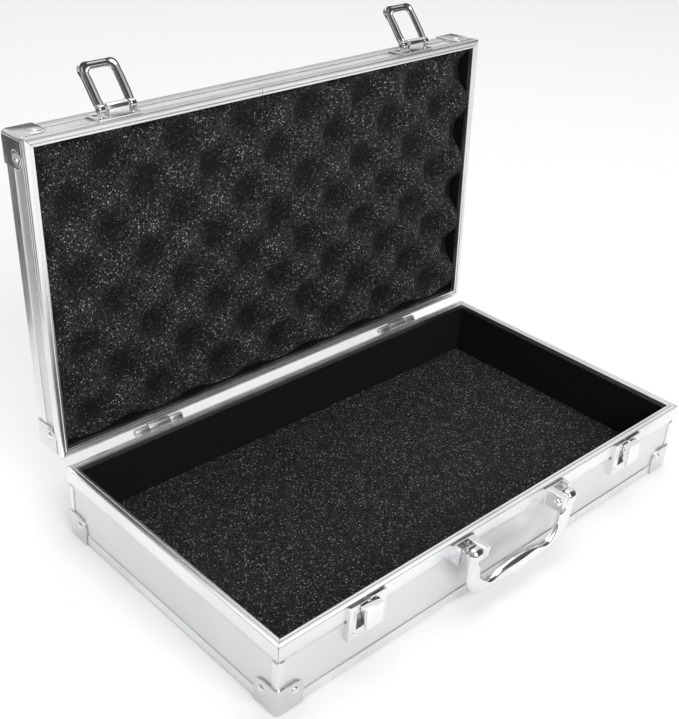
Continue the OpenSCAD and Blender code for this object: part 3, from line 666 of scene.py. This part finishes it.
def make_corners(tray):
    """Pressed protectors with a raised boss round each domed rivet."""
    for end in ("front_left", "front_right", "back_left", "back_right"):
        softened(f"{tray}_corner_{end}", 0.35, pressed)
    if tray == "base":
        softened("base_corner_posts", 0.2, upright)
    rivets = [turned(DOME, at, axis) for at, axis in rivet_places(tray)]
    bosses = [ring_around(BOSS, at, axis) for at, axis in rivet_places(tray)]
    piece(f"{tray}_protector_bosses", bosses, pressed, tray, place_of(tray), 50)
    piece(f"{tray}_protector_rivets", rivets, hardware, tray, place_of(tray),
          50, [f"{tray}_corner_rivets"])


FOOT_R = 6.0
LID_FOOT_DOWN = 11.5                  # from the lid's rim to the middle of its feet


def make_feet(tray):
    """Waisted rubber feet on the back wall, so that the case can stand on its back edge."""
    t = TRAYS[tray]
    profile = [(0, 4.4), (3.9, 4.4), (4.6, 4.25), (5.0, 3.8), (5.1, 2.6), (5.5, 2.3), (5.9, 1.8),
               (FOOT_R, 0.6), (5.9, 0), (0, 0)]
    lo, hi = low(f"{tray}_feet"), high(f"{tray}_feet")
    down = LID_FOOT_DOWN if tray == "lid" else BASE_TOP - (lo[2] + hi[2]) / 2
    z = t["rim"] + t["away"] * down
    x = hi[0] - FOOT_R
    parts = [turned(profile, (s * x, HALF_D, z), (0, 1, 0)) for s in (-1, 1)]
    piece(f"{tray}_rubber_feet", parts, black_rubber, tray, place_of(tray), 40,
          [f"{tray}_feet"])


# ---- foam ----

PAD_GAP = 0.15                        # between the floor pad and the lining
PAD_SHOULDER = 2.4                    # radius of the floor pad's upper edge
PAD_LOW = 0.45                        # how far the pad's surface lies below its CAD top
DENT = 0.22                           # height of each of the pad's slow waves
SEAT_GAP = 0.02                       # between a foam and the panel that it lies on
WAVE_X = 53.0                         # pitch of the egg-crate cells along and across the lid
WAVE_Y = 47.5
WAVE_AT = (185.0, 13.0)               # middle of one hollow
WAVE_DEPTH = 5.4
WAVE_MIDDLE = 7.2                     # below the lid's rim
WAVE_SHARP = 1.25                     # how much the waves flatten at their peaks
FOAM_GAP = 0.5                        # between the egg-crate foam and the lining
FOAM_SHOULDER = 1.2
ROUGH_CUT = 0.075                     # depth of the cutter's marks


def edge_spaced(half, step, fine, band):
    """Coordinates from -half to half, close together near both ends."""
    inner = np.linspace(-half + band, half - band, int(2 * (half - band) / step) + 1)
    outer = half - band * (1 - np.linspace(0, 1, int(band / fine) + 1)[1:] ** 0.6)
    return np.concatenate([-outer[::-1], inner, outer])


def shoulder(x, y, half_x, half_y, r):
    """How far a surface drops towards its outline: a quarter round of radius r."""
    gx, gy = np.meshgrid(half_x - np.abs(x), half_y - np.abs(y), indexing="ij")
    e = np.clip(np.stack([gx, gy]), 0, r)
    return (r - np.sqrt(np.maximum(r * r - (r - e) ** 2, 0))).sum(0)


def make_base_pad():
    """The floor pad: flat foam with slow dents, which are two warped sine waves, and edges
    that round over."""
    half_x = HALF_W - LINER_FACE - PAD_GAP
    half_y = HALF_D - LINER_FACE - PAD_GAP
    x = edge_spaced(half_x, step=3.0, fine=0.3, band=3.0)
    y = edge_spaced(half_y, step=3.0, fine=0.3, band=3.0)
    gx, gy = np.meshgrid(x, y, indexing="ij")
    dents = DENT * (np.sin(gx / 23 + 1.3 * np.sin(gy / 31)) + np.sin(gy / 17 + np.cos(gx / 41)))
    top = PAD_TOP - PAD_LOW + dents - shoulder(x, y, half_x, half_y, PAD_SHOULDER)
    pad = piece("base_foam_pad_cut", [slab(x, y, top, np.full_like(top, FLOOR_T + SEAT_GAP))],
                pad_foam, "base", shut, 60, ["base_foam_pad"])


def make_lid_foam():
    """Egg-crate foam. Its depth below the rim is the product of two cosines, flattened at its
    peaks by a hyperbolic tangent, with the cutter's fine marks on it."""
    half_x = HALF_W - LINER_FACE - FOAM_GAP
    half_y = HALF_D - LINER_FACE - FOAM_GAP
    x = edge_spaced(half_x, step=1.3, fine=0.5, band=2.0)
    y = edge_spaced(half_y, step=1.3, fine=0.5, band=2.0)
    gx, gy = np.meshgrid(x, y, indexing="ij")
    wave = (np.cos(2 * math.pi * (gx - WAVE_AT[0]) / WAVE_X)
            * np.cos(2 * math.pi * (gy - WAVE_AT[1]) / WAVE_Y))
    shaped = np.tanh(WAVE_SHARP * wave) / math.tanh(WAVE_SHARP)
    cut = ROUGH_CUT * np.sin(gx / 2.9 + 2.0 * np.sin(gy / 13.0)) * np.cos(gy / 3.7)
    depth = WAVE_MIDDLE + WAVE_DEPTH * shaped + cut
    depth = depth + shoulder(x, y, half_x, half_y, FOAM_SHOULDER)
    bottom = np.full_like(depth, LID_RIM + LID_DEEP - FLOOR_T - SEAT_GAP)
    # 1 in the deepest hollows and on the underside, where the foam's material paints shade
    hollow = np.concatenate([((wave + 1) / 2).ravel(), np.ones(depth.size)])
    pad = piece("lid_egg_crate_foam", [slab(x, y, LID_RIM + depth, bottom)], lid_foam_black,
                "lid", opened, 60, ["lid_foam"], hollow)


# ---- handle ----

EYE_R = 5.0
EYE_HALF = 4.9
DROP = 32.0                           # from the pins to the middle of the corners
CORNER_R = 17.0
LEG_LEAN = 2.0
GRIP_RISE = 2.2
LEG = (11.5, 6.0)                     # width and thickness
LEG_SLIM = 2.7                        # how much slimmer the leg is beside the bracket's arm
ARM_END = 7.8                         # the drop at which the bracket's arm ends
SLIM_END = 14.0                       # and at which the leg has its full width
GRIP = (12.6, 9.4)
NECK = 4.5                            # how much the section draws in at the grip's ends
NECK_SPAN = 0.3                       # how long the neck is, as a share of the half grip
BALL_FROM = 0.6                       # where an eye's round end starts
FULLNESS = 0.86                       # below 1 the oval section is squarer than an ellipse
BRACKET_IN = 36.0                     # inner face of a bracket's inner arm
PIN_HEAD = 3.2                        # height of a pin's head


def eased(value, start, end):
    """A smooth step from 0 at the start to 1 at the end."""
    t = np.clip((value - start) / (end - start), 0, 1)
    return t * t * (3 - 2 * t)


def handle_line():
    """The handle's middle line as (x, drop), from eye to eye: a leg that leans in, a round
    corner, and a grip that rises in the middle as half a cosine wave."""
    corner_x = PIN_X - LEG_LEAN - CORNER_R
    drop = np.linspace(1.0, DROP - CORNER_R, 18, endpoint=False)
    leg = np.stack([PIN_X - LEG_LEAN * eased(drop, ARM_END, DROP - CORNER_R), drop], 1)
    a = np.radians(np.linspace(0, 90, 18, endpoint=False))
    corner = np.stack([corner_x + CORNER_R * np.cos(a), DROP - CORNER_R + CORNER_R * np.sin(a)],
                      1)
    t = np.linspace(0, 1, 28)
    grip = np.stack([corner_x * (1 - t), DROP - GRIP_RISE * (1 - np.cos(math.pi * t)) / 2], 1)
    half = np.concatenate([leg, corner, grip])
    return np.concatenate([half, half[-2::-1] * [-1, 1]]), corner_x


def make_handle():
    """The handle: an oval section carried along its line. The oval swells towards the middle
    of the grip and draws in to a neck at both of the grip's ends."""
    line, corner_x = handle_line()
    x = np.abs(line[:, 0]) / corner_x
    swell = np.where(x >= 1, 0, (1 + np.cos(math.pi * np.minimum(x, 1))) / 2)
    neck = np.where(line[:, 1] < DROP / 2, 0, np.exp(-((x - 1) / NECK_SPAN) ** 2))
    wide = LEG[0] + (GRIP[0] - LEG[0]) * swell - NECK * neck
    thick = LEG[1] + (GRIP[1] - LEG[1]) * swell
    wide = wide - LEG_SLIM * (1 - eased(line[:, 1], ARM_END, SLIM_END))
    ahead = np.gradient(line, axis=0)
    ahead /= np.linalg.norm(ahead, axis=1)[:, None]
    a = np.linspace(0, 2 * math.pi, ROUND, endpoint=False)
    across = np.sign(np.cos(a)) * np.abs(np.cos(a)) ** FULLNESS
    out = np.sign(np.sin(a)) * np.abs(np.sin(a)) ** FULLNESS
    px = line[:, 0, None] - wide[:, None] / 2 * across * ahead[:, 1, None]
    drop = line[:, 1, None] + wide[:, None] / 2 * across * ahead[:, 0, None]
    rings = np.stack([px, thick[:, None] / 2 * out, -drop], -1)
    pin = np.array(joint("handle_swing")["pos_m"]) / MM
    rings = rings + pin
    round_end = np.radians(np.linspace(0, 90, 14))
    rise = BALL_FROM + (EYE_HALF - BALL_FROM) * np.sin(round_end)
    ball = np.stack([EYE_R * np.cos(round_end), rise], 1)
    eye = [(0, -4.7), (2.0, -4.7), (2.1, -EYE_HALF), (3.6, -EYE_HALF), (4.5, -4.4), (4.95, -3.4),
           (EYE_R, -2), *ball[:-1], (0, EYE_HALF)]
    parts = [skin(rings)]
    for s in (-1, 1):
        parts.append(turned(eye, pin + [s * PIN_X, 0, 0], (s, 0, 0)))
    piece("carry_handle", parts, chrome, "handle", shut, 60, ["handle"])


def make_handle_pins():
    """Pins with turned heads that show on the inner side of each bracket."""
    lo, hi = low("handle_pins"), high("handle_pins")
    y, z = (lo[1] + hi[1]) / 2, (lo[2] + hi[2]) / 2
    inner = BRACKET_IN - PIN_HEAD
    head = [(0, 0), (1.4, 0.1), (2.1, 0.5), (2.5, 1.2), (2.6, 1.9), (2.6, 3.0), (2.45, PIN_HEAD),
            (1.95, PIN_HEAD), (1.95, hi[0] - inner - 0.1), (0, hi[0] - inner)]
    parts = [turned(head, (s * inner, y, z), (s, 0, 0)) for s in (-1, 1)]
    piece("handle_pivot_pins", parts, chrome, "base", shut, 40, ["handle_pins"])


# ---- hasps ----

HASP_LEN = 30.0
HASP_W = 27.6
WINDOW_W = 15.6
WINDOW_END = 24.9
HASP_SIDE = (HASP_W - WINDOW_W) / 2
HASP_START = 1.0                      # where the strip starts, from the pin's axis
HASP_JOGGLE = 0.6                     # how far the legs draw in beside the pin
HASP_NARROW = 0.16                    # share by which the strip narrows at the free end
HASP_PIN_OUT = 5.5                    # the pin, in front of the lid's front wall
HASP_PIN_UP = 6.0                     # and above the shut lid's rim
HASP_BEND = 6.0                       # radius of the strip's middle line at the free end
HASP_BOW = 0.3                        # how far the frame bows towards the case
HASP_LIP = 1.5                        # share of its height that the lip gains at the free end
CORNER_REACH = 0.8                    # how much further the strip reaches into the corners


def make_hasp(label):
    """A drop-over hasp: a pressed strip carried round the window from eye to eye. The path is
    a U with round corners. The strip is hollow behind, its outer edge turns up into a lip,
    and it reaches out into the corners by the square of sin(2a) round each bend."""
    swing = joint(f"hasp_{label}_swing")
    at = np.array(swing["pos_m"]) / MM
    turn = OPEN + math.radians(swing["range_deg"][1])
    half = WINDOW_W / 2 + HASP_SIDE / 2
    end = (WINDOW_END + HASP_LEN) / 2
    r = HASP_BEND
    t = np.linspace(0, 1, 20, endpoint=False)
    a = np.radians(np.linspace(0, 90, 14, endpoint=False))
    b = np.linspace(0, 1, 10)
    along = HASP_START + (end - r - HASP_START) * t
    leg = np.stack([half - HASP_JOGGLE * (1 - eased(along, 0, 7)), along], 1)
    bend = np.stack([half - r + r * np.cos(a), end - r + r * np.sin(a)], 1)
    bar = np.stack([(half - r) * (1 - b), np.full_like(b, end)], 1)
    path = np.concatenate([leg, bend, bar])
    path = np.concatenate([path, path[-2::-1] * [-1, 1]])
    reach = np.concatenate([0 * t, np.sin(2 * a) ** 2, 0 * b])
    reach = 1 + CORNER_REACH * np.concatenate([reach, reach[-2::-1]])
    ahead = np.gradient(path, axis=0)
    ahead /= np.linalg.norm(ahead, axis=1)[:, None]
    outwards = np.stack([ahead[:, 1], -ahead[:, 0]], 1)
    # strip section: (outwards, away from the case); the lip is taller at the free end
    w = HASP_SIDE / 2 - 0.05
    strip = filleted([(-w, -0.6), (1.0 - w, -0.6), (1.9 - w, -0.05), (w - 2.2, -0.05),
                      (w - 1.2, -0.75), (w, -0.75), (w, 1.0), (w - 0.9, 1.0), (w - 1.25, 0.5),
                      (0.8 - w, 0.45), (-w, 0.3)],
                     np.array([0.25, 0.4, 0.8, 0.8, 0.4, 0.45, 0.3, 0.3, 0.3, 0.3, 0.25]), 4)
    near_end = eased(path[:, 1], 18, 26)
    away = strip[None, :, 1] + np.maximum(strip[:, 1], 0)[None] * (
        0.3 + HASP_LIP * near_end[:, None])
    bow = HASP_BOW * np.sin(math.pi * np.clip(path[:, 1] / HASP_LEN, 0, 1))
    away = away - bow[:, None]
    across = strip[None, :, 0] * (1 - HASP_NARROW * near_end[:, None])
    across = np.where(across > 0, across * reach[:, None], across)
    px = path[:, 0, None] + outwards[:, 0, None] * across
    pu = path[:, 1, None] + outwards[:, 1, None] * across
    rings = np.stack([px, -away, -pu], -1)
    eye = [(1.32, -2.15), (2.5, -2.15), (2.85, -1.8), (2.9, -1.2), (2.9, 1.2), (2.85, 1.8),
           (2.5, 2.15), (1.32, 2.15)]
    parts = [skin(rings)]
    parts += [ring_around(eye, (s * half, 0, 0), (1, 0, 0)) for s in (-1, 1)]
    c, s = math.cos(turn), math.sin(turn)

    def leaned(points):
        """Turns the hanging hasp about its pin to where it rests, and moves it there."""
        y, z = points[:, 1], points[:, 2]
        return np.stack([points[:, 0], y * c + z * s, z * c - y * s], -1) + at

    piece(f"hasp_{label}_frame", parts, hasp_chrome_painted_dark, f"hasp_{label}", leaned, 50,
          [f"hasp_{label}"])


def make_hasp_bracket(label, side):
    """The hasp's bracket: a slotted plate and, in front of it, a knuckle of sheet rolled
    round the pin. The roll's path leaves the plate, and winds on a slow spiral."""
    softened(f"hasp_bracket_{label}", 0.3, hardware)
    pin_y, pin_z = -HALF_D - HASP_PIN_OUT, LID_RIM + HASP_PIN_UP
    a = np.radians(np.linspace(-90, 215, 40))
    r = np.linspace(2.85, 1.95, 40)
    roll = np.stack([pin_y - r * np.cos(a), pin_z + r * np.sin(a)], 1)
    ahead = np.gradient(roll, axis=0)
    ahead /= np.linalg.norm(ahead, axis=1)[:, None]
    normal = np.stack([ahead[:, 1], -ahead[:, 0]], 1) * 0.36
    loop = np.concatenate([roll + normal, (roll - normal)[::-1]])
    x = side * LATCH_X + np.array([-7.12, -7.0, 7.0, 7.12])
    shrink = np.array([0.5, 1.0, 1.0, 0.5])
    centre_line = np.concatenate([roll, roll[::-1]])
    rings = np.stack([np.column_stack([np.full(len(loop), xi),
                                       centre_line + (loop - centre_line) * k])
                      for xi, k in zip(x, shrink)])
    piece(f"hasp_knuckle_{label}", [skin(rings)], hardware, "lid", opened, 40)


def make_pin(name, node, material, body, place, radius, centres):
    """Plain pins with chamfered ends, one for each given (centre, half length)."""
    parts = []
    for centre, half in centres:
        profile = [(0, -half), (radius * 0.7, -half + 0.12), (radius, -half + 0.4),
                   (radius, half - 0.4), (radius * 0.7, half - 0.12), (0, half)]
        parts.append(turned(profile, centre, (1, 0, 0), 28))
    piece(name, parts, material, body, place, 50, [node])


# ---- latches, hinges and small rivets ----

# rivets: from the middle of their fitting, and up from the floor, the hinge line or the rim
LATCH_RIVET = (11.4, 30.6)
HINGE_RIVET = (11.0, 11.6)
HASP_RIVET = (11.0, 5.5)
BRACKET_RIVET_UP = 41.8
# a rivet head's profile, for a radius and height of 1
SMALL_DOME = [(0, 1.0), (0.35, 0.97), (0.65, 0.8), (0.88, 0.45), (1.0, 0.0), (1.0, -0.3),
              (0, -0.3)]


def domes(name, node, places, radius, height, body, place=shut):
    """Small domed rivet heads at (point, axis) places."""
    profile = np.array(SMALL_DOME) * [radius, height]
    parts = [turned(profile, at, axis, 28) for at, axis in places]
    piece(name, parts, hardware, body, place, 50, [node])


def make_latches():
    """Latch plates, sprung hooks, their pins and springs, and the rivets of the front."""
    for label in ("left", "right"):
        softened(f"latch_plate_{label}", 0.3, hardware)
        softened(f"latch_hook_{label}", 0.25, chrome)
        softened(f"handle_bracket_{label}", 0.5, hardware)
    hook = np.array(joint("latch_hook_right_press")["pos_m"]) / MM
    make_pin("hook_pins", "latch_pins", zinc, "base", shut, 0.9,
             [((s * hook[0], hook[1], hook[2]), 6.4) for s in (-1, 1)])
    aside, up = LATCH_RIVET
    front = [((s * LATCH_X + x, -HALF_D - 2.5, up), (0, -1, 0))
             for s in (-1, 1) for x in (-aside, aside)]
    brackets = [((s * PIN_X, -HALF_D - 1.6, BRACKET_RIVET_UP), (0, -1, 0)) for s in (-1, 1)]
    domes("front_rivet_heads", "front_rivets", front + brackets, 1.6, 0.6, "base")
    make_springs(hook)


def make_springs(hook):
    """Torsion springs: a wire carried along a helix round the pin, on each side of a hook."""
    turns, wire, r = 3.0, 0.25, 1.25
    t = np.linspace(0, 1, 90)
    parts = []
    for s in (-1, 1):
        for hand in (-1, 1):
            angle = 2 * math.pi * turns * t
            x = s * hook[0] + hand * (2.5 + 1.5 * t)
            line = np.stack([x, hook[1] + r * np.cos(angle), hook[2] + r * np.sin(angle)], 1)
            parts.append(wire_along(line, wire))
    piece("hook_springs", parts, zinc, "base", shut, 60, ["latch_springs"])


def wire_along(line, radius, sides=8):
    """A round wire: a circle carried square to a line of points."""
    ahead = np.gradient(line, axis=0)
    ahead /= np.linalg.norm(ahead, axis=1)[:, None]
    side = np.cross(ahead, [1.0, 0.0, 0.0])
    side /= np.linalg.norm(side, axis=1)[:, None]
    other = np.cross(ahead, side)
    a = np.linspace(0, 2 * math.pi, sides, endpoint=False)
    rings = (line[:, None] + radius * (np.cos(a)[None, :, None] * side[:, None]
                                       + np.sin(a)[None, :, None] * other[:, None]))
    return skin(rings)


def make_hinges():
    """Hinge leaves, pins and rivets."""
    for label in ("left", "right"):
        softened(f"hinge_base_leaf_{label}", 0.25, zinc)
        softened(f"hinge_lid_leaf_{label}", 0.25, zinc)
    hinge_x = (low("hinge_base_leaf_right")[0] + high("hinge_base_leaf_right")[0]) / 2
    make_pin("hinge_pin_rods", "hinge_pins", zinc, "base", shut, PIN_R,
             [((s * hinge_x, HINGE_Y, HINGE_Z), 19.0) for s in (-1, 1)])
    aside, from_line = HINGE_RIVET
    for tray, way, place in (("base", -1, shut), ("lid", 1, opened)):
        places = [((s * hinge_x + x, HALF_D + 1.0, HINGE_Z + way * from_line), (0, 1, 0))
                  for s in (-1, 1) for x in (-aside, aside)]
        domes(f"{tray}_hinge_rivet_heads", f"{tray}_hinge_rivets", places, 2.0, 0.9, tray, place)


def make_lid_fittings():
    """Hasps with their brackets, pins and rivets."""
    for label, side in (("left", -1), ("right", 1)):
        make_hasp(label)
        make_hasp_bracket(label, side)
    pins = [((s * LATCH_X, -HALF_D - HASP_PIN_OUT, LID_RIM + HASP_PIN_UP), 11.6)
            for s in (-1, 1)]
    make_pin("hasp_pin_rods", "hasp_pins", zinc, "lid", opened, PIN_R, pins)
    aside, up = HASP_RIVET
    places = [((s * LATCH_X + x, -HALF_D - 1.2, LID_RIM + up), (0, -1, 0))
              for s in (-1, 1) for x in (-aside, aside)]
    domes("hasp_rivet_heads", "hasp_rivets", places, 1.7, 0.6, "lid", opened)


def finish_panels():
    """Carried-over panels and linings take their own finishes."""
    for name, node in frame["nodes"].items():
        if name.endswith(("panel", "panels")):
            finish = silver
        elif name.endswith("liner"):
            finish = black_lining
        else:
            continue
        node.data.materials.clear()
        node.data.materials.append(finish)


# ---- studio, in metres ----

FLOOR_REACH = 14.0
FLOOR_AT = -0.0002
CARD_AT = 0.01
ROOM_LEVEL = 0.85                     # brightness of the room


def sheet(name, outline, height, colour, glow):
    """A flat matt sheet that is part of the studio."""
    mesh = bpy.data.meshes.new(name)
    points = np.column_stack([outline, np.full(len(outline), height)])
    mesh.from_pydata(points.tolist(), [], [list(range(len(outline)))])
    obj = bpy.data.objects.new(name, mesh)
    bpy.context.scene.collection.objects.link(obj)
    material, tree, shader = new_material("matt_" + name)
    put(tree, shader, "Base Color", colour)
    put(tree, shader, "Roughness", 0.8)
    put(tree, shader, "Specular IOR Level", 0.1)
    put(tree, shader, "Emission Color", (1.0, 1.0, 1.0, 1))
    put(tree, shader, "Emission Strength", glow)
    mesh.materials.append(material)
    return obj


def make_floor():
    """A wide, plain pale floor, a little below the case's underside."""
    a = np.linspace(0, 2 * math.pi, 64, endpoint=False)
    rim = FLOOR_REACH * np.stack([np.cos(a), np.sin(a)], 1)
    sheet("floor", rim, FLOOR_AT, (0.93, 0.93, 0.935, 1), 0.07)


def make_dark_card():
    """A dark card low behind the left end. Only polished metal sees it."""
    corners = [(-0.95, 0.36), (-0.25, 0.36), (-0.25, 1.2), (-0.95, 1.2)]
    card = sheet("dark_card", corners, CARD_AT, (0.10, 0.10, 0.10, 1), 0.0)
    card.visible_camera = False
    card.visible_diffuse = False
    card.visible_shadow = False


def softbox(name, at, aim, size, power):
    """A large rectangular light that faces a point."""
    light = bpy.data.lights.new(name, "AREA")
    light.shape = "RECTANGLE"
    light.size, light.size_y = size
    light.energy = power
    obj = bpy.data.objects.new(name, light)
    obj.location = at
    obj.rotation_euler = (Vector(aim) - Vector(at)).to_track_quat("-Z", "Y").to_euler()
    bpy.context.scene.collection.objects.link(obj)


def make_light():
    """Soft studio light: two large softboxes in a bright room. The room has a dark horizon, a
    dark patch to the front right and a dimmer left side, for polished metal to reflect."""
    world = bpy.data.worlds.new("studio")
    bpy.context.scene.world = world
    world.use_nodes = True
    tree = world.node_tree
    sky = tree.nodes["Background"]
    where = tree.nodes.new("ShaderNodeTexCoord").outputs["Generated"]
    split = add(tree, "ShaderNodeSeparateXYZ", Vector=where)
    rise = spread(tree, split.outputs["Z"], 0.03, 0.30, 0.12, 1.0)
    patch = add(tree, "ShaderNodeVectorMath", {"operation": "DOT_PRODUCT"})
    put(tree, patch, 0, where)
    put(tree, patch, 1, (0.62, -0.58, 0.53))
    beside = spread(tree, patch.outputs["Value"], 0.78, 0.95, 1.0, 0.10)
    left = spread(tree, split.outputs["X"], -0.9, -0.2, 0.45, 1.0)
    level = maths(tree, "MULTIPLY", maths(tree, "MULTIPLY", rise, beside), left)
    level = maths(tree, "MULTIPLY", level, ROOM_LEVEL)
    shade = tree.nodes.new("ShaderNodeCombineColor")
    for i in range(3):
        tree.links.new(level, shade.inputs[i])
    eye = tree.nodes.new("ShaderNodeLightPath").outputs["Is Camera Ray"]
    tree.links.new(blended(tree, eye, shade.outputs[0], (1.0, 1.0, 1.0, 1)),
                   sky.inputs["Color"])
    softbox("key_softbox", (-0.35, -1.8, 1.55), (0, 0, 0.08), (1.6, 1.1), 24)
    softbox("top_softbox", (0.3, 0.5, 2.4), (0, 0, 0.1), (2.0, 1.6), 14)


def make_camera():
    """Three-quarter view from the front left, from above."""
    camera = bpy.data.cameras.new("camera")
    camera.lens = 56.3
    camera.sensor_width = 36.0
    camera.shift_x = 0.0372
    camera.shift_y = 0.0408
    camera.clip_start = 0.01
    obj = bpy.data.objects.new("camera", camera)
    right = Vector((0.7415, -0.6697, 0.0410))
    up = Vector((0.3267, 0.4137, 0.8498))
    back = right.cross(up).normalized()
    turn = Matrix((right.normalized(), back.cross(right).normalized(), back)).transposed()
    obj.matrix_world = Matrix.Translation((-0.4776, -0.4236, 0.4783)) @ turn.to_4x4()
    bpy.context.scene.collection.objects.link(obj)
    bpy.context.scene.camera = obj


make_camera()
make_floor()
make_dark_card()
make_light()
for tray in TRAYS:
    make_rims(tray)
    make_rails(tray)
    make_corners(tray)
    make_feet(tray)
make_base_pad()
make_lid_foam()
make_handle()
make_handle_pins()
make_latches()
make_hinges()
make_lid_fittings()
finish_panels()
bpy.context.scene.view_settings.view_transform = "Standard"
